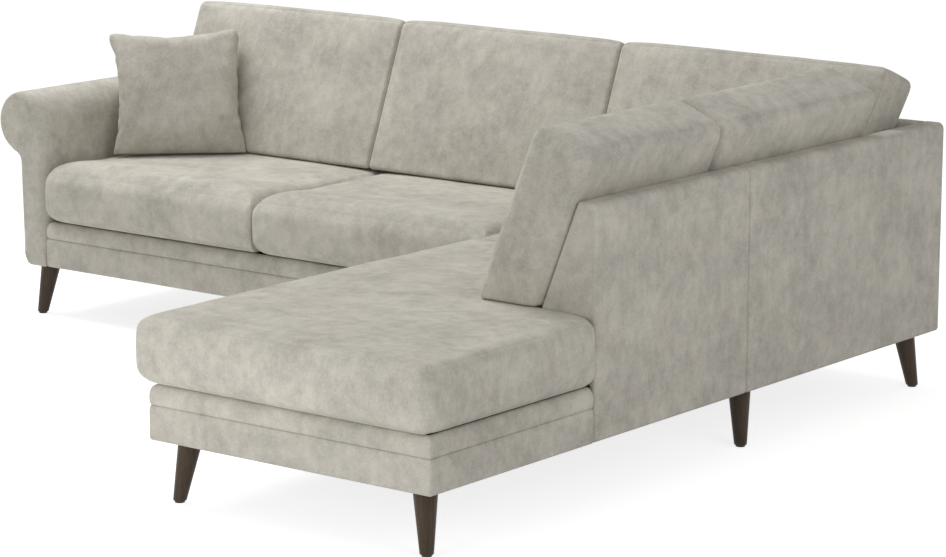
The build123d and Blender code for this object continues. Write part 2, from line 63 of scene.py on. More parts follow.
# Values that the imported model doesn't state, in metres
RAKE = math.radians(21.5)  # of the walls' inner sides
WALL_TOP, APRON = 0.056, 0.020  # thickness of a wall at its top and beside the base
BASE_PAD, LOWER_BAND = 0.020, 0.085  # thickness of a base's bands, height of its lower one
SEAT_EDGE = 0.164  # height of a seat cushion's sides
LEAN_THICK, LEAN_TALL = 0.172, 0.396  # a back or side cushion
LEAN_ROOM = 0.190  # what it and the air in front of it take, square to the wall
GAP = 0.0004  # air between pieces that touch
SEAM_FAR = 0.08  # the longest distance from a seam that is stored

SIDES = [(axis, end) for axis in range(3) for end in (0, 1)]  # of a box


def wall_in(z):
    """Thickness of a raked wall at a height."""
    return WALL_TOP + (WALL_TOP_Z - z) * math.tan(RAKE)


def clamp(share):
    return np.clip(share, 0, 1)


def ease(share):
    """A share of 0 to 1, with a gentle start and end."""
    return share**2 * (3 - 2 * share)


# Meshes

def make_mesh(name, points, faces, uv=None):
    """A smooth mesh object from arrays of points and faces."""
    mesh = bpy.data.meshes.new(name)
    mesh.from_pydata([tuple(p) for p in points], [], [tuple(int(i) for i in face) for face in faces])
    mesh.polygons.foreach_set("use_smooth", [True] * len(mesh.polygons))
    if uv is not None:
        layer = mesh.uv_layers.new(name="nap")
        layer.data.foreach_set("uv", np.asarray(uv, np.float32).ravel())
    mesh.update()
    piece = bpy.data.objects.new(name, mesh)
    scene.collection.objects.link(piece)
    return piece


def read_points(piece, field="co"):
    """A piece's points, or another field of theirs, such as their normals."""
    array = np.zeros(len(piece.data.vertices) * 3, np.float32)
    piece.data.vertices.foreach_get(field, array)
    return array.reshape(-1, 3).astype(float)


def write_points(piece, points):
    piece.data.vertices.foreach_set("co", points.astype(np.float32).ravel())


def move_points(piece, distance):
    """Move every point of a piece along its own normal."""
    piece.data.update()
    write_points(piece, read_points(piece) + read_points(piece, "normal") * distance[:, None])
    piece.data.update()


def noise_at(points, scale, seed):
    offset = Vector([seed * step for step in (7.1, 3.3, 5.7)])
    return np.array([noise.noise(Vector(p) * scale + offset) for p in points])


def keep_seam(piece, distance):
    """Store the distance from the nearest seam, in metres, for the material, which paints shade along
    seams from it.
    """
    attribute = piece.data.attributes.get("seam") or piece.data.attributes.new("seam", "FLOAT", "POINT")
    attribute.data.foreach_set("value", np.asarray(distance, np.float32))


def seam_distance(piece, marked):
    """Distance of every point from the piece's marked edges."""
    samples = 4  # along each edge
    points = read_points(piece)
    tree = kdtree.KDTree(samples * len(piece.data.edges))
    for edge in piece.data.edges:
        first, last = edge.vertices
        if marked[first] and marked[last]:
            for step in range(samples):
                tree.insert(points[first] + (points[last] - points[first]) * step / samples, 0)
    tree.balance()
    return np.array([min(SEAM_FAR, tree.find(p)[2]) for p in points])


def sew(piece, marked, depth, width, pucker, seed, faint=0.0):
    """Pull a piece in along its seams, with small uneven puckers beside them.

    faint, added to the stored distance, makes the painted shade along the seam lighter.
    """
    aside = 0.014  # how far from the seam the puckers lie, and how broad they are
    uneven, long_wave, short_wave = 0.35, 9, 34
    far = seam_distance(piece, marked)
    points = read_points(piece)
    pull = depth * np.exp(-((far / width) ** 2)) * (1 + uneven * noise_at(points, long_wave, seed))
    bulge = pucker * noise_at(points, short_wave, seed) * np.exp(-(((far - aside) / aside) ** 2))
    move_points(piece, bulge - pull)
    keep_seam(piece, far + faint)


def drift(piece, height, scale, seed, free=1.0):
    """Soft, broad unevenness, as stuffing gives. free is 0 on the sides that rest on something."""
    finer, share = 2.7, 0.4  # a second, smaller pattern on top of the first
    points = read_points(piece)
    field = noise_at(points, scale, seed) + share * noise_at(points, finer * scale, seed)
    move_points(piece, height * field * free)


def dress(piece, material, slot, body, *nodes):
    """Give a piece its material, hang it from its body's empty, and hide the CAD nodes that it stands
    for.
    """
    piece.data.materials.append(material)
    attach(piece, body)
    if nodes:
        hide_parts(*nodes)


def dress_soft(piece, fill, *dressing):
    modifier = piece.modifiers.new("smooth", "SUBSURF")
    modifier.levels = modifier.render_levels = 1
    dress(piece, *dressing)


# Stuffed boxes

def ticks(length, reach):
    """Places along one side of a box, close together near its two ends."""
    cell = 0.022
    fine = reach * np.array([0.0, 0.05, 0.11, 0.19, 0.28, 0.39, 0.53, 0.71, 1.0])
    middle = np.linspace(reach, length - reach, max(3, round((length - 2 * reach) / cell) + 1))
    return np.concatenate([fine, middle[1:-1], (length - fine)[::-1]])


def box_lattice(*lines):
    """The grid points on a box's surface, its quads, the axis that each quad faces, and its steps."""
    shape = tuple(len(line) for line in lines)
    shell = np.zeros(shape, bool)
    for axis in range(3):
        np.moveaxis(shell, axis, 0)[[0, -1]] = True
    steps = np.argwhere(shell)
    index = -np.ones(shape, int)
    index[tuple(steps.T)] = np.arange(len(steps))
    quads, facing = [], []
    for axis in range(3):
        for end in (0, -1):
            face = np.take(index, end, axis)
            quad = np.stack([face[:-1, :-1], face[1:, :-1], face[1:, 1:], face[:-1, 1:]], -1)
            quad = quad.reshape(-1, 4)
            quads.append(quad[:, ::-1] if (end == 0) != (axis == 1) else quad)
            facing += [axis] * len(quad)
    points = np.stack([line[steps[:, axis]] for axis, line in enumerate(lines)], -1)
    return points, np.concatenate(quads), np.array(facing), steps


def round_edges(points, size, radii):
    """Round a box's upper and lower edges. radii holds three reaches for each of its eight corners."""
    blend = 1.6  # above 1, each corner's reaches hold for longer
    share = ease(clamp(0.5 + blend * (points / size - 0.5)))
    weight = np.stack([1 - share, share], -1)
    reach = np.einsum("nx,ny,nz,xyzr->nr", weight[:, 0], weight[:, 1], weight[:, 2], radii)
    high = points > size / 2
    inner = np.where(high, size - reach, reach)
    out = np.where(high, 1.0, -1.0)
    into = np.maximum((points - inner) * out / reach, 0)
    level, rise = into[:, :2].max(1), into[:, 2]
    length = np.hypot(level, rise)
    scale = np.where(length > 0, np.maximum(level, rise) / np.maximum(length, 1e-9), 1.0)
    return np.where(into > 0, inner + out * reach * into * scale[:, None], points)


def round_outline(points, size, radii):
    """Round the upright edges of a box, less and less towards its middle."""
    fade = 6  # the power by which the rounding dies away
    half = size[:2] / 2
    flat = points[:, :2] - half
    spread = np.maximum(np.abs(flat / half).max(1), 1e-6)
    edge = flat / spread[:, None]
    radius = np.asarray(radii)[(edge[:, 0] > 0).astype(int), (edge[:, 1] > 0).astype(int)][:, None]
    out = np.where(edge > 0, 1.0, -1.0)
    into = np.maximum((np.abs(edge) - (half - radius)) / radius, 0)
    length = norm(into, axis=1)
    scale = np.where(length > 0, into.max(1) / np.maximum(length, 1e-9), 1.0)
    rounded_edge = np.where(into > 0, out * (half - radius + radius * into * scale[:, None]), edge)
    moved = points.copy()
    moved[:, :2] += (rounded_edge - edge) * (spread**fade)[:, None]
    return moved


def inflate(points, quads, held, frames, cap):
    """Swell a closed skin by cloth simulation under pressure, and give how far each point moved."""
    skin = make_mesh("skin", points, quads)
    group = skin.vertex_groups.new(name="held")
    group.add([int(i) for i in np.flatnonzero(held)], 1.0, "REPLACE")
    modifier = skin.modifiers.new("cloth", "CLOTH")
    cloth = modifier.settings
    cloth.quality, cloth.mass = 6, 0.3
    cloth.tension_stiffness = cloth.compression_stiffness = 15.0
    cloth.shear_stiffness, cloth.bending_stiffness = 5.0, 0.5
    cloth.use_pressure, cloth.uniform_pressure_force = True, 4.0
    cloth.vertex_group_mass = "held"
    cloth.effector_weights.gravity = 0.0
    modifier.collision_settings.use_collision = False
    for number in range(1, frames + 1):
        scene.frame_set(number)
    swollen = skin.evaluated_get(bpy.context.evaluated_depsgraph_get())
    moved = read_points(swollen) - points
    scene.frame_set(1)
    mesh = skin.data
    bpy.data.objects.remove(skin)
    bpy.data.meshes.remove(mesh)
    far = norm(moved, axis=1)
    return moved * np.minimum(1, cap / np.maximum(far, 1e-9))[:, None]


def stuffing(raw, size, free):
    """How a box swells on its free sides when it is stuffed, at the given points on its surface."""
    cell, frames, cap = 0.02, 20, 0.026
    lines = [np.linspace(0, length, max(8, round(length / cell) + 1)) for length in size]
    skin, quads, _, steps = box_lattice(*lines)
    last = np.array([len(line) - 1 for line in lines])
    held = np.zeros(len(skin), bool)
    for axis, end in SIDES:
        if (axis, end) not in free:
            held |= steps[:, axis] == end * last[axis]
    grid = np.zeros((*(last + 1), 3))
    grid[tuple(steps.T)] = inflate(skin, quads, held, frames, cap)
    moved = np.zeros_like(raw)
    for axis, end in SIDES:
        on = np.isclose(raw[:, axis], end * size[axis])
        face = np.take(grid, end * last[axis], axis)
        place, part = [], []
        for other in range(3):
            if other != axis:
                where = raw[on, other] / size[other] * last[other]
                whole = np.minimum(where.astype(int), last[other] - 1)
                place.append(whole)
                part.append((where - whole)[:, None])
        (i, j), (s, t) = place, part
        near = face[i, j] * (1 - t) + face[i, j + 1] * t
        far = face[i + 1, j] * (1 - t) + face[i + 1, j + 1] * t
        moved[on] = near * (1 - s) + far * s
    return moved


def swelling(raw, size, swells):
    """How far each point stands out. swells: (axis, end, height) for each free side.

    Half of it is a smooth dome and half the simulated stuffing.
    """
    unit = 2 * raw / size - 1
    moved = stuffing(raw, size, {swell[:2] for swell in swells})
    rise = np.zeros_like(raw)
    for axis, end, height in swells:
        sign = 2 * end - 1
        towards = clamp((sign * unit[:, axis] + 1) / 2) ** 1.5
        domes = [1 - np.abs(unit[:, other]) ** 4 for other in range(3) if other != axis]
        share = domes[0] * domes[1]
        if moved is not None:
            out, on = sign * moved[:, axis], towards > 0.999
            rim, peak = out[on & (share < 1e-6)].mean(), np.percentile(out[on], 97)
            stuffed = clamp((out - rim) / (peak - rim)) * clamp(3 * share)
            share = 0.5 * share + 0.5 * stuffed
        rise[:, axis] += sign * height * share * towards
    return rise


def cushion(name, size, reach, radii, plan, swells, place, seams, extra=None):
    """A stuffed box: rounded, swollen, put in place and marked with its seams.

    reach: how far from its ends the mesh is fine. plan: 2 by 2 radii of its upright edges.
    seams: pairs of sides, such as ((2, 1), (1, 0)) for the top front edge.
    extra: more places for mesh lines along the second axis.
    Gives the piece, its seams' points, and how free each point is of resting sides.
    """
    rest_reach = 0.03
    size = np.asarray(size, float)
    lines = [ticks(size[axis], reach[axis]) for axis in range(3)]
    if extra is not None:
        lines[1] = np.unique(np.concatenate([lines[1], extra]))
    raw, quads, facing, steps = box_lattice(*lines)
    shape = round_outline(round_edges(raw, size, radii), size, plan)
    uv = np.zeros((len(quads), 4, 2))
    for axis, across in enumerate(((1, 2), (0, 2), (1, 0))):
        uv[facing == axis] = shape[quads[facing == axis]][:, :, across]
    piece = make_mesh(name, place(shape + swelling(raw, size, swells)), quads, uv)
    marked = np.zeros(len(steps), bool)
    for pair in seams:
        on = np.ones(len(steps), bool)
        for axis, end in pair:
            on &= steps[:, axis] == end * (len(lines[axis]) - 1)
        marked |= on
    free = np.ones(len(raw))
    swollen = {swell[:2] for swell in swells}
    for axis, end in SIDES:
        if (axis, end) not in swollen:
            free = np.minimum(free, np.abs(raw[:, axis] - end * size[axis]) / rest_reach)
    return piece, marked, free


def edges_of(axis, end):
    """The four edges round one side of a box."""
    others = [other for other in range(3) if other != axis]
    return [((axis, end), (other, stop)) for other in others for stop in (0, 1)]


def seat_form(kind):
    """The edge radii, plan radii and swells of a left, middle, corner or chaise seat."""
    # By left or right, front or rear, lower or upper corner: the reaches along x, y and z
    radii = np.zeros((2, 2, 2, 3))
    radii[:, 0, 0], radii[:, 0, 1] = (0.046, 0.044, 0.046), (0.046, 0.052, 0.048)
    radii[:, 1, 0], radii[:, 1, 1] = (0.020, 0.012, 0.012), (0.036, 0.014, 0.016)
    plan = ((0.018, 0.012), (0.018, 0.012))
    crown, bulge = 0.006, 0.004
    swells = [(2, 1, crown)]
    if kind == "left":
        radii[1, 0, 0] = (0.018, 0.044, 0.046)
        plan = ((0.050, 0.012), (0.014, 0.012))
    if kind != "corner":
        swells.append((1, 0, bulge))
    if kind in ("corner", "chaise"):
        radii[0, :, 0], radii[0, :, 1] = (0.046, 0.044, 0.046), (0.030, 0.030, 0.028)
        swells.append((0, 0, bulge))
    if kind == "chaise":
        radii[1, :, 0], radii[1, :, 1] = (0.038, 0.038, 0.042), (0.028, 0.028, 0.026)
        plan = ((0.040, 0.012), (0.036, 0.012))
        swells.append((0, 1, bulge))
    return radii, plan, swells


def seat(node, body, seed):
    """A seat cushion, whose rear follows the raked walls. The chaise's is notched round its wall."""
    low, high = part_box(node)
    kind = node.replace("seat_cushion_", "")
    chaise, corner = kind == "chaise", kind == "corner"
    front_seat = not chaise and not corner
    top = SEAT_Z + SEAT_EDGE
    x0 = low.x + (-0.001 if chaise else 0.014 if corner else 0.0)
    x1 = high.x - 0.002 if chaise else RIGHT - wall_in(top) - GAP if corner else high.x
    y0 = low.y + (0.0025 if chaise else 0.0 if corner else 0.006)
    y1 = high.y if chaise else BACK - wall_in(top) - GAP
    size = np.array([x1 - x0, y1 - y0, SEAT_EDGE])
    # Free sides stand out at half height
    belly, belly_reach = 0.009, 0.15
    # The chaise's left side stands back where the middle seat slides past it
    recess, recess_fade = 0.009, 0.20
    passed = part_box("seat_cushion_middle")[0].y - 0.31
    # Its right side turns in at the front of the wall
    bend, turn = 0.034, 0.70 * size[0]
    notch = WALL_FRONT - 0.002
    # A front seat is plump behind its front edge, which curls up a little below
    hump, hump_reach = 0.015, 0.24
    curl, curl_tall, curl_reach = 0.0022, 0.08, 0.12

    def place(shape):
        x, y, z = shape.T
        height = SEAT_Z + z
        stand = belly * (1 - clamp(np.abs(2 * z / SEAT_EDGE - 1)) ** 3)
        if not front_seat:
            beside = ease(clamp((y0 + y - passed) / recess_fade + 1)) if chaise else 0.0
            x = x + ((recess + stand) * beside - stand) * clamp(1 - x / belly_reach) ** 2
        if not corner:
            y = y - stand * clamp(1 - y / belly_reach) ** 2
        across, along = x0 + x, y0 + y
        if corner:
            across = x0 + x * (RIGHT - wall_in(height) - GAP - x0) / size[0]
        if chaise:
            near = np.clip(notch - along, 0, bend)
            side = x1 + stand - bend + np.sqrt(bend**2 - (bend - near) ** 2)
            side = np.where(along > notch + 0.0001, RIGHT - wall_in(height) - GAP, side)
            across = across - np.maximum((x - turn) / (size[0] - turn), 0) * (x0 + size[0] - side)
        else:
            along = y0 + y * (BACK - wall_in(height) - GAP - y0) / size[1]
        if front_seat:
            behind = clamp(y / hump_reach)
            plump = 27 / 4 * behind * (1 - behind) ** 2  # 1 at a third of the reach
            level = np.clip(z / SEAT_EDGE, 0, 1.1) ** 2
            height = height + hump * plump * level * (1 - np.abs(2 * x / size[0] - 1) ** 10)
            height = height + curl * clamp(1 - z / curl_tall) ** 1.5 * clamp(1 - y / curl_reach)
        return np.stack([across, along, height], -1)

    extra = None
    if chaise:
        ahead = [0.040, 0.034, 0.028, 0.022, 0.016, 0.011, 0.007, 0.004, 0.0025, 0.002, 0.0012]
        extra = WALL_FRONT - y0 - np.array(ahead)
    seams = edges_of(2, 1) + edges_of(2, 0)
    fine = (0.055, 0.055, 0.055)
    piece, marked, free = cushion("seat_" + kind, size, fine, *seat_form(kind), place, seams, extra)
    drift(piece, 0.0014, 4.5, seed, free)
    sew(piece, marked, 0.0006, 0.004, 0.0004, seed, 0.0010)
    # Where back and side cushions stand on it, it is pressed flat
    points = read_points(piece)
    reach = wall_in(LEAN_Z) + 0.2
    under = (points[:, 1] > BACK - reach) | (points[:, 0] > RIGHT - reach)
    points[under, 2] = np.minimum(points[under, 2], LEAN_Z - GAP)
    write_points(piece, points)
    dress_soft(piece, 0.8, VELVET, "greige_velvet", body, node)


def leaning(node, body, limit, open_ends, seed):
    """A cushion that stands on a seat and leans on a raked wall.

    limit gives the place of its far end at a height, where a wall or a cushion stands in its way.
    open_ends names the ends, 0 or 1, that touch nothing.
    """
    low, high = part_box(node)
    on_side = node.startswith("side")
    start, end = (low.y, high.y) if on_side else (low.x, high.x)
    if 0 in open_ends:
        start -= 0.012
    heel = (RIGHT if on_side else BACK) - wall_in(LEAN_Z) - GAP
    taller, crown = (0.009, 0.009) if on_side else (-0.003, 0.011)
    belly, end_bulge = 0.014, 0.005
    size = np.array([end - start, LEAN_THICK, LEAN_TALL + taller])
    sine, cosine = math.sin(RAKE), math.cos(RAKE)

    def place(shape):
        x, y, z = shape.T
        ahead, rise = LEAN_THICK - y, z / LEAN_TALL
        foot = heel - ahead / cosine
        depth = foot + (heel + LEAN_TALL * sine - ahead * cosine - foot) * rise
        height = LEAN_Z + (LEAN_TALL * cosine + ahead * sine) * rise
        along = start + x * (limit(height) - start) / size[0] if limit else start + x
        return np.stack([depth, along, height] if on_side else [along, depth, height], -1)

    swells = [(1, 0, belly), (2, 1, crown)] + [(0, stop, end_bulge) for stop in open_ends]
    # On a side cushion the rear end's edges are seams too, and their darkening in the material paints the
    # contact shadow against the cushion behind it
    seams = edges_of(1, 0) + (edges_of(0, 1) if on_side else [])
    radii = np.zeros((2, 2, 2, 3))
    radii[:, 0, 0] = (0.014, 0.020, 0.014)
    radii[:, 0, 1] = (0.030, 0.040, 0.034) if on_side else (0.026, 0.020, 0.022)
    radii[:, 1, 0] = (0.012, 0.010, 0.008) if on_side else (0.016, 0.020, 0.010)
    radii[:, 1, 1] = (0.030, 0.034, 0.030) if on_side else (0.034, 0.044, 0.040)
    plan = ((0.022, 0.032), (0.022, 0.032)) if on_side else ((0.012, 0.034), (0.012, 0.034))
    if node.endswith("corner"):
        radii[1, 1, 1], plan = (0.022, 0.036, 0.028), ((0.012, 0.034), (0.012, 0.030))
    if node.endswith("rear"):
        radii[1, :, 1], plan = (0.016, 0.030, 0.022), ((0.022, 0.032), (0.012, 0.014))
    name = node.replace("_cushion", "")
    piece, marked, free = cushion(name, size, (0.042, 0.052, 0.050), radii, plan, swells, place, seams)
    if on_side:
        piece.data.flip_normals()
    drift(piece, 0.0016, 4.0, seed, free)
    sew(piece, marked, 0.0012, 0.0035, 0.0006, seed)
    dress_soft(piece, 0.75, VELVET, "greige_velvet", body, node)


def pillow():
    """The knife-edged throw pillow: two squares of cloth, sewn together and blown up."""
    turn, lean = math.radians(44), math.radians(22)
    low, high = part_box("throw_pillow")
    right = Vector((math.cos(turn), math.sin(turn), 0))
    ahead = Vector((math.sin(turn), -math.cos(turn), 0))
    facing = ahead * math.cos(lean) + Vector((0, 0, 1)) * math.sin(lean)
    axes = np.array([right, -facing, right.cross(-facing)])
    half, thick = 0.199, 0.066
    steps = np.linspace(-1, 1, 45)
    raw, quads, _, _ = box_lattice(steps, np.array([-1.0, 1.0]), steps)
    u, side, v = raw.T
    lens = np.sqrt(np.maximum((1 - u**2) * (1 - v**2), 0))
    frames, cap = 10, 0.070
    flat = np.stack([u * half, side * (0.002 + 0.015 * lens), v * half], -1)
    shape = flat + inflate(flat, quads, np.zeros(len(flat), bool), frames, cap)
    shape *= np.array([half, thick, half]) / np.abs(shape).max(0)
    # It stands on a straight lower edge, is a little squat, and has blunt upper corners
    rest = clamp(-1.6 * v - 0.4)[:, None]
    shape[:, 2:] += rest * (half * v[:, None] - shape[:, 2:])
    squat, raised = 0.95, 0.005
    shape[:, 2] = (shape[:, 2] + half) * squat - half + raised
    blunt, corner = 0.045, 0.86
    at_corner = clamp((np.abs(u) - corner) / 0.14) * clamp((v - corner) / 0.14)
    shape[:, [0, 2]] *= 1 - blunt * at_corner[:, None]
    # Its top is shifted to the left, and the right corner stands higher
    upper = clamp(v) ** 2
    shape[:, 0] -= 0.013 * upper
    shape[:, 2] += 0.011 * upper * clamp(u)
    uv = shape[quads][:, :, [0, 2]]
    piece = make_mesh("throw_pillow_soft", shape @ axes + np.array((low + high) / 2), quads, uv)
    marked = (np.abs(u) > 0.999) | (np.abs(v) > 0.999)
    drift(piece, 0.0015, 11.0, 4)
    sew(piece, marked, 0.0, 0.004, 0.0014, 5)
    dress_soft(piece, 0.7, PILLOW_VELVET, "pillow_velvet", "pillow", "throw_pillow")


# Swept pieces: walls, arm, bases and legs

def rounded(corners, radii, cell):
    """Points round a closed outline with rounded corners, counter-clockwise."""
    corners = [np.array(corner, float) for corner in corners]
    points = []
    for index, corner in enumerate(corners):
        if not radii[index]:
            points.append(corner)
            continue
        back, ahead = corners[index - 1] - corner, corners[(index + 1) % len(corners)] - corner
        back, ahead = back / norm(back), ahead / norm(ahead)
        half = math.acos(np.clip(back @ ahead, -1, 1)) / 2
        centre = corner + (back + ahead) / norm(back + ahead) * radii[index] / math.sin(half)
        first = corner + back * radii[index] / math.tan(half) - centre
        last = corner + ahead * radii[index] / math.tan(half) - centre
        full = math.atan2(first[0] * last[1] - first[1] * last[0], first @ last)
        for turn in np.linspace(0, full, 8):
            c, s = math.cos(turn), math.sin(turn)
            points.append(centre + np.array([first[0] * c - first[1] * s, first[0] * s + first[1] * c]))
    return resample(points, cell)


def resample(points, cell):
    """Add points along the long straight runs of a closed outline."""
    filled = []
    for index, point in enumerate(points):
        follow = points[(index + 1) % len(points)]
        count = max(1, int(norm(follow - point) / cell))
        filled += [point + (follow - point) * step / count for step in range(count)]
    return np.array(filled)


def outward(outline):
    """Outward directions round a closed outline."""
    ahead, back = np.roll(outline, -1, 0) - outline, outline - np.roll(outline, 1, 0)
    along = ahead / norm(ahead, axis=1)[:, None] + back / norm(back, axis=1)[:, None]
    along /= norm(along, axis=1)[:, None]
    return np.stack([along[:, 1], -along[:, 0]], -1)


def skin_rows(name, rows, closed=False, hidden=(), nap_round=False):
    """A mesh over rows of points, whose last row is joined to the first if closed, or else capped.

    hidden names the ends, 0 or -1, whose caps lie against another piece and have a sharp rim.
    nap_round lets the nap run round the rows, not across them.
    """
    count = len(rows[0])
    around = norm(np.roll(rows[0], -1, 0) - rows[0], axis=1)
    run = np.concatenate([[0], np.cumsum(around)])
    apart = [norm(b - a, axis=1).mean() for a, b in zip(rows, rows[1:])]
    rise = np.concatenate([[0], np.cumsum(apart)])
    faces, uv = [], []
    for row in range(len(rows) if closed else len(rows) - 1):
        above = (row + 1) % len(rows)
        far = rise[row + 1] if row + 1 < len(rows) else rise[row]
        for i in range(count):
            j = (i + 1) % count
            faces.append((row * count + i, row * count + j, above * count + j, above * count + i))
            uv += [(run[i], rise[row]), (run[i + 1], rise[row]), (run[i + 1], far), (run[i], far)]
    if not closed:
        for start in (0, (len(rows) - 1) * count):
            faces.append([start + i for i in range(count)])
            uv += [(run[i], rise[0]) for i in range(count)]
    piece = make_mesh(name, np.concatenate(rows), faces, np.array(uv)[:, ::-1] if nap_round else uv)
    work = bmesh.new()
    work.from_mesh(piece.data)
    bmesh.ops.recalc_face_normals(work, faces=work.faces)
    work.faces.ensure_lookup_table()
    for end in hidden:
        for edge in work.faces[-2 if end == 0 else -1].edges:
            edge.smooth = False
    work.to_mesh(piece.data)
    work.free()
    keep_seam(piece, np.full(len(piece.data.vertices), SEAM_FAR))
    return piece


def rounding(depth, radius):
    """How far a rounded edge lies inside its side, at a depth behind its end."""
    return radius - math.sqrt(max(0.0, radius**2 - max(0.0, radius - depth) ** 2))


def wall(node):
    """A raked wall cover along the sofa's back or right side."""
    low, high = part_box(node)
    on_side = "side" in node
    start, end = (low.y, high.y) if on_side else (low.x, high.x)
    split = 0.0002  # half a step at the base's top, where the corner wall's end sets back
    section = (  # depth, height, radius
        (-APRON, BASE_BOTTOM, 0.009),
        (0, BASE_BOTTOM, 0.010),
        (0, BASE_TOP - split, 0.0),
        (0, BASE_TOP + split, 0.0),
        (0, WALL_TOP_Z, 0.018),
        (-WALL_TOP, WALL_TOP_Z, 0.011),
        (-wall_in(BASE_TOP), BASE_TOP, 0.010),
        (-APRON, BASE_TOP, 0.0),
    )
    outline = rounded([corner[:2] for corner in section], [corner[2] for corner in section], 0.012)
    side = outward(outline)
    radius, spacing = 0.009, 0.05  # of the ends, and of the rows between them
    ends = radius * np.array([0.0, 0.03, 0.12, 0.3, 0.6, 1.0])
    middle = np.linspace(start + radius, end - radius, max(3, round((end - start) / spacing)))[1:-1]
    rows = []
    for along in np.concatenate([start + ends, middle, (end - ends)[::-1]]):
        depth, height = (outline - side * rounding(min(along - start, end - along), radius)).T
        reach = np.full(len(outline), along)
        if node == "corner_back_cover":
            beside = np.where(height < BASE_TOP, RIGHT - APRON, RIGHT - wall_in(height)) - GAP
            reach = np.minimum(reach, beside)
        where = [RIGHT + depth, reach, height] if on_side else [reach, BACK + depth, height]
        rows.append(np.stack(where, -1))
    piece = skin_rows(node.replace("_cover", "_wall"), rows, nap_round=True)
    dress(piece, VELVET, "greige_velvet", "carcass", node)


def arm_outline(roll, radius):
    """The arm's outline in x and z, round its inner side, roll, neck, post and foot."""
    neck_radius, foot, inner = 0.030, 0.036, 0.006
    thick, taper = 0.102, 0.006  # of the post
    out_x = ARM_X - thick
    aside = roll[0] - (out_x - neck_radius)
    drop = math.sqrt((radius + neck_radius) ** 2 - aside**2)
    neck = np.array([out_x - neck_radius, roll[1] - drop])
    heel = np.array([out_x + taper + foot, BASE_BOTTOM + foot])
    under = math.atan2(*(neck - roll)[::-1]) % (2 * math.pi)
    arcs = (  # centre, radius, first and last angle, points
        (np.array([ARM_X - inner, BASE_BOTTOM + inner]), inner, -math.pi / 2, 0, 5),
        (roll, radius, 0, under, 48),
        (neck, neck_radius, under - math.pi, 0, 12),
        (heel, foot, math.pi, 1.5 * math.pi, 10),
    )
    points = []
    for centre, size, first, last, count in arcs:
        turns = np.linspace(first, last, count)
        points += [centre + size * np.array([math.cos(turn), math.sin(turn)]) for turn in turns]
    return resample(points, 0.012)


def arm():
    """The roll arm: a sleeve and two end facings that share one soft, rounded form."""
    radius = 0.092
    roll = np.array([ARM_X - radius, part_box("arm_cover")[1].z - radius + 0.007])
    outline = arm_outline(roll, radius)
    x, z = outline.T
    # The ends are drawn in towards a spine inside the post and the roll
    spine = ((ARM_X - 0.048, BASE_BOTTOM + 0.045), (ARM_X - 0.050, roll[1] - 0.05), roll)
    nearest, best = np.zeros_like(outline), np.full(len(outline), np.inf)
    for a, b in zip(np.array(spine), np.array(spine[1:])):
        share = clamp((outline - a) @ (b - a) / ((b - a) @ (b - a)))
        place = a + share[:, None] * (b - a)
        far = norm(outline - place, axis=1)
        nearest[far < best] = place[far < best]
        best = np.minimum(best, far)
    inward = (nearest - outline) / best[:, None]
    front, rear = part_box("arm_front_facing")[0].y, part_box("arm_back_facing")[1].y
    # They are softest on the roll's inner side, and square at the foot beside the base
    level = clamp(np.maximum((z - BASE_BOTTOM) / 0.05, (ARM_X - 0.076 - x) / 0.025))
    inner = clamp((x - roll[0] + 0.020) / 0.090)
    soft = 0.011 + np.where(z > roll[1] - radius, 0.035, 0.023) * inner
    for node, hidden in (("arm_cover", (0, -1)), ("arm_front_facing", (-1,)), ("arm_back_facing", (0,))):
        low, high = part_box(node)
        if node == "arm_cover":
            bends = np.array([0.003, 0.007, 0.012, 0.018, 0.025, 0.033, 0.040])
            places = np.linspace(low.y, high.y, 2 + round((high.y - low.y) / 0.02))
            places = np.unique(np.concatenate([places, low.y + bends, high.y - bends]))
        else:
            depth = np.array([0.0, 0.0003, 0.0012, 0.0028, 0.0052, 0.0083, 0.012, 0.016])
            places = low.y + depth if node == "arm_front_facing" else high.y - depth[::-1]
        rows = []
        for along in places:
            inset = np.array([rounding(min(along - front, rear - along), size) for size in soft])
            section = outline + inward * np.minimum(level * inset, 0.85 * best)[:, None]
            rows.append(np.column_stack([section[:, 0], np.full(len(section), along), section[:, 1]]))
        piece = skin_rows(node.replace("_cover", "_sleeve"), rows, hidden=hidden, nap_round=True)
        dress(piece, VELVET, "greige_velvet", "carcass", node)


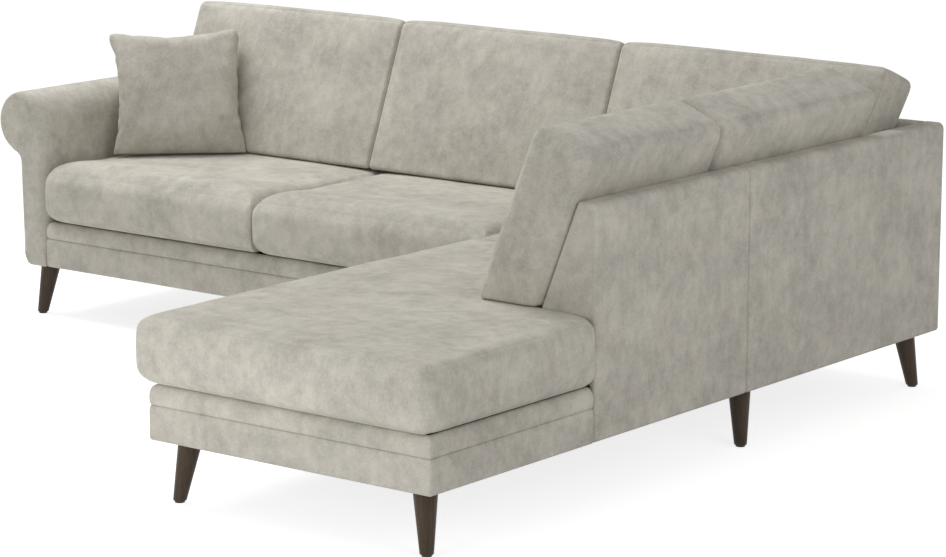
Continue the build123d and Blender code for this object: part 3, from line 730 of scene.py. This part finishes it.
def base(node):
    """A padded base round an open middle: a flat lower band, a seam, and a rounded upper band."""
    low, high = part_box(node)
    corner = 0.007
    plan = [(low.x, low.y), (high.x, low.y), (high.x, high.y), (low.x, high.y)]
    if node == "chaise_base_cover":
        notch_x, notch_y = RIGHT - APRON - 0.0005, WALL_FRONT - 0.001
        plan[2:3] = [(high.x, notch_y), (notch_x, notch_y), (notch_x, high.y)]
    outline = rounded(plan, [corner] * len(plan), 0.014)
    side = outward(outline)
    seam_z = BASE_BOTTOM + LOWER_BAND
    steps = np.array([0.0, 0.04, 0.12, 0.25, 0.45, 0.7, 1.0])
    foot, below, above, top = 0.007, 0.016, 0.018, 0.030  # how tall each rounding is

    def edge(z, way, reach, share, places):
        """Heights and insets of an edge, a share as deep as a full round."""
        return [(z + way * reach * s, share * rounding(reach * s, reach)) for s in places]

    profile = [(BASE_BOTTOM, BASE_PAD)]
    profile += edge(BASE_BOTTOM, 1, foot, 1.0, steps)
    profile += [(z, 0.0) for z in np.linspace(BASE_BOTTOM + foot, seam_z - below, 5)[1:-1]]
    profile += edge(seam_z, -1, below, 0.36, steps[::-1])
    profile += edge(seam_z, 1, above, 0.32, steps[1:])
    profile += edge(BASE_TOP, -1, top, 0.62, steps[::-1])
    profile += [(BASE_TOP, BASE_PAD)]
    rows = []
    for z, inset in profile:
        section = outline - side * min(inset, 0.95 * corner)
        section[:, 0] = np.clip(section[:, 0], low.x + inset, high.x - inset)
        section[:, 1] = np.clip(section[:, 1], low.y + inset, high.y - inset)
        rows.append(np.column_stack([section, np.full(len(section), z)]))
    piece = skin_rows(node.replace("_cover", "_bands"), rows, closed=True)
    # The material darkens the band seam from this distance: partly the seam's own line, partly painted
    # shade in its crease
    heights = read_points(piece)[:, 2]
    keep_seam(piece, np.minimum(np.abs(heights - seam_z), SEAM_FAR))
    dress(piece, VELVET, "greige_velvet", "carcass", node)


def ring(middle, radius, z, count=40):
    turns = np.linspace(0, 2 * math.pi, count, endpoint=False)
    x, y = middle[0] + radius * np.cos(turns), middle[1] + radius * np.sin(turns)
    return np.stack([x, y, np.full(count, z)], -1)


def leg(node):
    """A turned, tapered and splayed leg with eased ends, and the stud that it screws in by."""
    low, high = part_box(node)
    top_radius, foot_radius, stud_radius = 0.028, 0.015, 0.004
    to_left = node.startswith(("leg_arm", "leg_corner_inner", "leg_chaise_left"))
    lean = np.array([-1 if to_left else 1, 1 if node.endswith("back") else -1])
    low_end, high_end = np.array(low)[:2], np.array(high)[:2]
    top = np.where(lean > 0, low_end, high_end) + lean * top_radius
    foot = np.where(lean > 0, high_end, low_end) - lean * foot_radius
    top_radius, foot_radius = top_radius + 0.0016, foot_radius + 0.0012  # a little stouter than in CAD
    shoulder = BASE_BOTTOM - 0.001
    tall = shoulder - low.z
    eases = [(0.0, 0.0026), (0.0007, 0.0012), (0.0018, 0.0003), (0.0032, 0.0)]  # from the end, inwards
    heights = eases + [(z, 0.0) for z in np.linspace(0, tall, 9)[1:-1]]
    heights += [(tall - z, inset) for z, inset in eases[::-1]]
    rows = []
    for z, inset in heights:
        radius = foot_radius + (top_radius - foot_radius) * z / tall - inset
        rows.append(ring(foot + (top - foot) * z / tall, radius, low.z + z))
    rows += [ring(top, stud_radius, shoulder), ring(top, stud_radius, high.z)]
    piece = skin_rows(node + "_turned", rows)
    dress(piece, WENGE, "wenge_wood", "carcass", node)


def screws():
    """Pan-head screws on the undersides of the connector plates."""
    low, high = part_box("connector_plates")
    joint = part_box("corner_base_cover")[0]
    plates = [(joint.x, y, (1, 0)) for y in (low.y + 0.102, high.y - 0.022)]
    plates += [(x, joint.y, (0, 1)) for x in (joint.x + 0.160, high.x - 0.022)]
    head = ((0.0048, 0.0), (0.0046, 0.0010), (0.0036, 0.0019), (0.0016, 0.0022))  # radius, drop
    count = 20
    points, faces = [], []
    for x, y, way in plates:
        for along in (-0.040, -0.018, 0.018, 0.040):
            spot = (x + along * way[0], y + along * way[1])
            for row, (radius, drop) in enumerate(head):
                start = len(points)
                points += list(ring(spot, radius, low.z - drop, count))
                if row:
                    for i in range(count):
                        j = (i + 1) % count
                        faces.append((start - count + j, start - count + i, start + i, start + j))
            faces.append([start + i for i in range(count)][::-1])
    piece = make_mesh("connector_screws", points, faces)
    dress(piece, STEEL, "zinc_steel", "carcass")


# Materials

def node_tree(name):
    material = bpy.data.materials.new(name)
    material.use_nodes = True
    return material, material.node_tree, material.node_tree.nodes["Principled BSDF"]


def add(tree, kind, **values):
    """A new node, with values for its inputs or its own settings."""
    node = tree.nodes.new(kind)
    for key, value in values.items():
        if key in node.inputs:
            node.inputs[key].default_value = value
        else:
            setattr(node, key, value)
    return node


def noise_field(tree, vector, scale, detail, rough=0.55, stretch=None):
    if stretch:
        mapping = add(tree, "ShaderNodeMapping", Scale=stretch)
        tree.links.new(vector, mapping.inputs["Vector"])
        vector = mapping.outputs["Vector"]
    field = add(tree, "ShaderNodeTexNoise", Scale=scale, Detail=detail, Roughness=rough)
    tree.links.new(vector, field.inputs["Vector"])
    return field.outputs["Fac"]


def combine(tree, operation, first, second):
    node = add(tree, "ShaderNodeMath", operation=operation)
    for socket, value in zip(node.inputs, (first, second)):
        if isinstance(value, (int, float)):
            socket.default_value = value
        else:
            tree.links.new(value, socket)
    return node.outputs["Value"]


def weigh(tree, *pairs):
    """The weighted sum of several fields."""
    total = None
    for field, weight in pairs:
        part = combine(tree, "MULTIPLY", field, weight)
        total = part if total is None else combine(tree, "ADD", total, part)
    return total


def ramp(tree, value, stops):
    """A colour ramp over a field."""
    node = add(tree, "ShaderNodeValToRGB")
    band = node.color_ramp
    while len(band.elements) < len(stops):
        band.elements.new(0.5)
    for element, (place, colour) in zip(band.elements, stops):
        element.position = place
        element.color = (*colour, 1)
    tree.links.new(value, node.inputs["Fac"])
    return node.outputs["Color"]


def multiply(tree, first, second):
    """One colour field times another."""
    node = add(tree, "ShaderNodeMix", data_type="RGBA", blend_type="MULTIPLY")
    share, a, b = (socket for socket in node.inputs if socket.enabled)
    share.default_value = 1.0
    tree.links.new(first, a)
    tree.links.new(second, b)
    return next(socket for socket in node.outputs if socket.enabled)


def roughen(tree, shader, height, strength, distance):
    bump = add(tree, "ShaderNodeBump", Strength=strength, Distance=distance)
    tree.links.new(height, bump.inputs["Height"])
    tree.links.new(bump.outputs["Normal"], shader.inputs["Normal"])


def settle(shader, **values):
    """Set a shader's own inputs. An underscore stands for a space in a name."""
    for key, value in values.items():
        shader.inputs[key.replace("_", " ")].default_value = value


def velvet(name, lift):
    """Greige brushed velvet: clouds of raised and flattened nap, strokes, fine fibre, and seam lines
    darkened partly by painted shade.
    """
    material, tree, shader = node_tree(name)
    place = add(tree, "ShaderNodeTexCoord")
    here, nap = place.outputs["Object"], place.outputs["UV"]
    cloud = noise_field(tree, here, scale=7.0, detail=4.0, rough=0.6)
    blot = noise_field(tree, here, scale=30.0, detail=5.0, rough=0.62)
    stroke = noise_field(tree, nap, scale=1.0, detail=3.0, stretch=(48.0, 12.0, 1.0))
    speck = noise_field(tree, here, scale=170.0, detail=2.0)
    tone = weigh(tree, (cloud, 0.36), (blot, 0.33), (stroke, 0.11), (speck, 0.20))
    middle = np.array((0.528, 0.501, 0.441)) * lift
    shades = [(stop, tuple(middle * share)) for stop, share in ((0.39, 0.79), (0.50, 1.0), (0.61, 1.19))]
    hue = noise_field(tree, here, scale=8.0, detail=3.0)
    casts = ((0.38, (1.003, 0.997, 0.994)), (0.50, (1.0, 1.0, 1.0)), (0.62, (0.997, 1.001, 0.994)))
    # The seam's distance in centimetres
    seam = add(tree, "ShaderNodeAttribute", attribute_name="seam").outputs["Fac"]
    seam = combine(tree, "MULTIPLY", seam, 100.0)
    # Painted shade along seams: the colour darkens near a seam, partly the seam's own line and partly
    # shade in its crease
    seam_shade = ((0.0, (0.78, 0.77, 0.75)), (0.12, (0.94, 0.94, 0.93)), (0.30, (1.0, 1.0, 1.0)))
    colour = multiply(tree, ramp(tree, tone, shades), ramp(tree, hue, casts))
    colour = multiply(tree, colour, ramp(tree, seam, seam_shade))
    tree.links.new(colour, shader.inputs["Base Color"])
    fibre = noise_field(tree, here, scale=620.0, detail=2.0)
    pile = noise_field(tree, nap, scale=1.0, detail=3.0, rough=0.6, stretch=(420.0, 90.0, 1.0))
    relief = weigh(tree, (fibre, 0.3), (pile, 0.5), (blot, 0.4))
    roughen(tree, shader, relief, strength=0.16, distance=0.002)
    settle(shader, Roughness=0.92, Specular_IOR_Level=0.2)
    settle(shader, Sheen_Weight=0.14, Sheen_Roughness=0.5, Sheen_Tint=(0.95, 0.93, 0.88, 1))
    return material


def timber(name, dark, light, rough, grain, relief, specular=0.5):
    """Wood with its grain along the axis on which grain is smallest."""
    material, tree, shader = node_tree(name)
    here = add(tree, "ShaderNodeTexCoord").outputs["Object"]
    lines = noise_field(tree, here, scale=1.0, detail=6.0, rough=0.6, stretch=grain)
    pores = noise_field(tree, here, scale=1.0, detail=3.0, rough=0.5, stretch=tuple(5 * g for g in grain))
    tone = weigh(tree, (lines, 0.75), (pores, 0.25))
    tree.links.new(ramp(tree, tone, ((0.36, dark), (0.64, light))), shader.inputs["Base Color"])
    polish = ramp(tree, pores, ((0.3, (rough - 0.08,) * 3), (0.7, (rough + 0.10,) * 3)))
    tree.links.new(polish, shader.inputs["Roughness"])
    roughen(tree, shader, tone, strength=relief, distance=0.001)
    settle(shader, Specular_IOR_Level=specular)
    return material


def woven(name, dark, light, pitch):
    """A plain weave: two sets of threads that cross, with uneven yarn."""
    material, tree, shader = node_tree(name)
    here = add(tree, "ShaderNodeTexCoord").outputs["Object"]
    waves = []
    for axis in ("X", "Y"):
        wave = add(tree, "ShaderNodeTexWave", Scale=pitch, Distortion=0.6, bands_direction=axis)
        tree.links.new(here, wave.inputs["Vector"])
        waves.append(wave.outputs["Fac"])
    weave = combine(tree, "MULTIPLY", *waves)
    yarn = noise_field(tree, here, scale=60.0, detail=3.0)
    tone = weigh(tree, (weave, 0.6), (yarn, 0.4))
    tree.links.new(ramp(tree, tone, ((0.2, dark), (0.7, light))), shader.inputs["Base Color"])
    roughen(tree, shader, weave, strength=0.35, distance=0.001)
    settle(shader, Roughness=0.95)
    return material


def metal(name):
    """Zinc-plated steel with a brushed, faintly blotched surface."""
    material, tree, shader = node_tree(name)
    here = add(tree, "ShaderNodeTexCoord").outputs["Object"]
    brush = noise_field(tree, here, scale=1.0, detail=4.0, rough=0.6, stretch=(900.0, 40.0, 40.0))
    blot = noise_field(tree, here, scale=45.0, detail=3.0)
    tones = ((0.3, (0.50, 0.50, 0.51)), (0.7, (0.66, 0.66, 0.65)))
    tree.links.new(ramp(tree, blot, tones), shader.inputs["Base Color"])
    polish = ramp(tree, brush, ((0.3, (0.28,) * 3), (0.7, (0.48,) * 3)))
    tree.links.new(polish, shader.inputs["Roughness"])
    settle(shader, Metallic=1.0)
    return material


def plastic(name):
    """Black moulded plastic with a fine spark-eroded grain."""
    material, tree, shader = node_tree(name)
    here = add(tree, "ShaderNodeTexCoord").outputs["Object"]
    wear = noise_field(tree, here, scale=180.0, detail=3.0)
    tones = ((0.35, (0.018, 0.018, 0.018)), (0.75, (0.045, 0.044, 0.042)))
    tree.links.new(ramp(tree, wear, tones), shader.inputs["Base Color"])
    grain = noise_field(tree, here, scale=1400.0, detail=2.0)
    roughen(tree, shader, grain, strength=0.2, distance=0.0005)
    settle(shader, Roughness=0.55)
    return material


VELVET = velvet("greige_velvet", lift=1.0)
PILLOW_VELVET = velvet("pillow_velvet", lift=0.97)
WENGE = timber(
    "wenge_wood", (0.046, 0.030, 0.018), (0.084, 0.056, 0.035),
    rough=0.42, grain=(160.0, 160.0, 7.0), relief=0.12, specular=0.25,
)
STEEL = metal("zinc_steel")
FINISHES = {
    "frame_timber": timber(
        "frame_timber", (0.42, 0.27, 0.14), (0.66, 0.49, 0.30),
        rough=0.72, grain=(14.0, 14.0, 90.0), relief=0.2,
    ),
    "lining_cloth": woven("lining_cloth", (0.020, 0.019, 0.018), (0.055, 0.052, 0.050), pitch=420.0),
    "webbing_strap": woven("webbing_strap", (0.10, 0.085, 0.06), (0.30, 0.26, 0.20), pitch=260.0),
    "zinc_steel": STEEL,
    "glide_plastic": plastic("glide_plastic"),
}

# CAD nodes that stay as they are, with finished materials
for part in frame["record"]["subparts"]:
    if part["material_slot"] in FINISHES:
        node = frame["nodes"][part["node"]]
        node.data.materials.clear()
        node.data.materials.append(FINISHES[part["material_slot"]])


# Upholstery and legs

def corner_end(height):
    """Where the corner back cushion ends. It leans as the right wall does, but less."""
    beyond, clear, slope = 0.016, 0.008, 0.23
    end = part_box("back_cushion_corner")[1].x + beyond
    below = np.maximum(LEAN_Z + LEAN_TALL * math.cos(RAKE) - height, 0)
    return np.minimum(RIGHT - wall_in(height) - clear, end - slope * below)


def rear_side_end(height):
    """Where the corner back cushion stands in the way of the rear side cushion."""
    beside = BACK - wall_in(height) - LEAN_ROOM / math.cos(RAKE)
    return np.minimum(beside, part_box("side_cushion_rear")[1].y)


seat("seat_cushion_left", "left_seat", 1)
seat("seat_cushion_middle", "middle_seat", 2)
seat("seat_cushion_corner", "corner_seat", 3)
seat("seat_cushion_chaise", "chaise_seat", 4)
leaning("back_cushion_left", "left_back_cushion", None, (), 11)
leaning("back_cushion_middle", "middle_back_cushion", None, (), 12)
leaning("back_cushion_corner", "corner_back_cushion", corner_end, (1,), 13)
leaning("side_cushion_rear", "rear_side_cushion", rear_side_end, (), 14)
leaning("side_cushion_front", "front_side_cushion", None, (0,), 15)
pillow()
for node in ("left_back_cover", "corner_back_cover", "corner_side_cover", "chaise_side_cover"):
    wall(node)
arm()
for node in ("left_base_cover", "corner_base_cover", "chaise_base_cover"):
    base(node)
for node in sorted(frame["nodes"]):
    if node.startswith("leg_") and node not in ("leg_plates", "leg_glides"):
        leg(node)
screws()


# Floor, light and camera

def lay_floor():
    """To the camera the floor is white with the sofa's shadow, to other rays a pale matt sheet."""
    mesh = bpy.data.meshes.new("floor")
    reach = 60.0
    corners = [(x * reach, y * reach, 0) for x, y in ((-1, -1), (1, -1), (1, 1), (-1, 1))]
    mesh.from_pydata(corners, [], [(0, 1, 2, 3)])
    floor = bpy.data.objects.new("floor", mesh)
    scene.collection.objects.link(floor)
    material, tree, shader = node_tree("floor")
    settle(shader, Base_Color=(0.93, 0.93, 0.93, 1), Roughness=0.9, Specular_IOR_Level=0.1)
    path = add(tree, "ShaderNodeLightPath")
    seen = combine(tree, "MAXIMUM", path.outputs["Is Camera Ray"], path.outputs["Is Glossy Ray"])
    seen = combine(tree, "MAXIMUM", seen, path.outputs["Is Transmission Ray"])
    matt = add(tree, "ShaderNodeBsdfDiffuse", Color=(0.49, 0.49, 0.49, 1))
    glow = add(tree, "ShaderNodeEmission", Color=(1, 1, 1, 1), Strength=0.81)
    both = add(tree, "ShaderNodeAddShader")
    tree.links.new(matt.outputs["BSDF"], both.inputs[0])
    tree.links.new(glow.outputs["Emission"], both.inputs[1])
    choice = add(tree, "ShaderNodeMixShader")
    tree.links.new(seen, choice.inputs["Fac"])
    tree.links.new(shader.outputs["BSDF"], choice.inputs[1])
    tree.links.new(both.outputs["Shader"], choice.inputs[2])
    tree.links.new(choice.outputs["Shader"], tree.nodes["Material Output"].inputs["Surface"])
    mesh.materials.append(material)


def light_sky(strength):
    world = bpy.data.worlds.new("studio")
    scene.world = world
    world.use_nodes = True
    settle(world.node_tree.nodes["Background"], Color=(1, 1, 1, 1), Strength=strength)


def softbox(name, where, aim, width, height, power):
    light = bpy.data.lights.new(name, "AREA")
    light.shape = "RECTANGLE"
    light.size, light.size_y, light.energy = width, height, power
    lamp = bpy.data.objects.new(name, light)
    lamp.location = where
    lamp.rotation_euler = (Vector(aim) - Vector(where)).to_track_quat("-Z", "Y").to_euler()
    scene.collection.objects.link(lamp)


def place_camera():
    """The camera as it was fitted to the photograph."""
    azimuth, elevation, roll = math.radians(37.7602), math.radians(11.3699), math.radians(0.1144)
    forward = Vector((
        -math.sin(azimuth) * math.cos(elevation),
        math.cos(azimuth) * math.cos(elevation),
        -math.sin(elevation),
    ))
    camera = bpy.data.objects.new("camera", bpy.data.cameras.new("camera"))
    camera.data.lens, camera.data.sensor_width = 128.2, 36.0
    camera.data.clip_end = 200.0
    camera.rotation_mode = "QUATERNION"
    tilt = Matrix.Rotation(roll, 3, "Z").to_quaternion()
    camera.rotation_quaternion = forward.to_track_quat("-Z", "Y") @ tilt
    camera.location = (5.8113, -6.7083, 2.0881)
    scene.collection.objects.link(camera)
    scene.camera = camera


lay_floor()
light_sky(0.40)
softbox("top", (-2.4, 0.3, 4.2), (0.0, 0.0, 0.4), 3.0, 3.0, 150.0)
softbox("right", (4.5, -0.8, 1.8), (1.3, -0.2, 0.4), 2.5, 2.0, 27.0)
softbox("front", (0.72, -2.35, 0.58), (0.9, -1.1, 0.36), 1.3, 0.6, 8.2)
place_camera()
scene.view_settings.view_transform = "Standard"
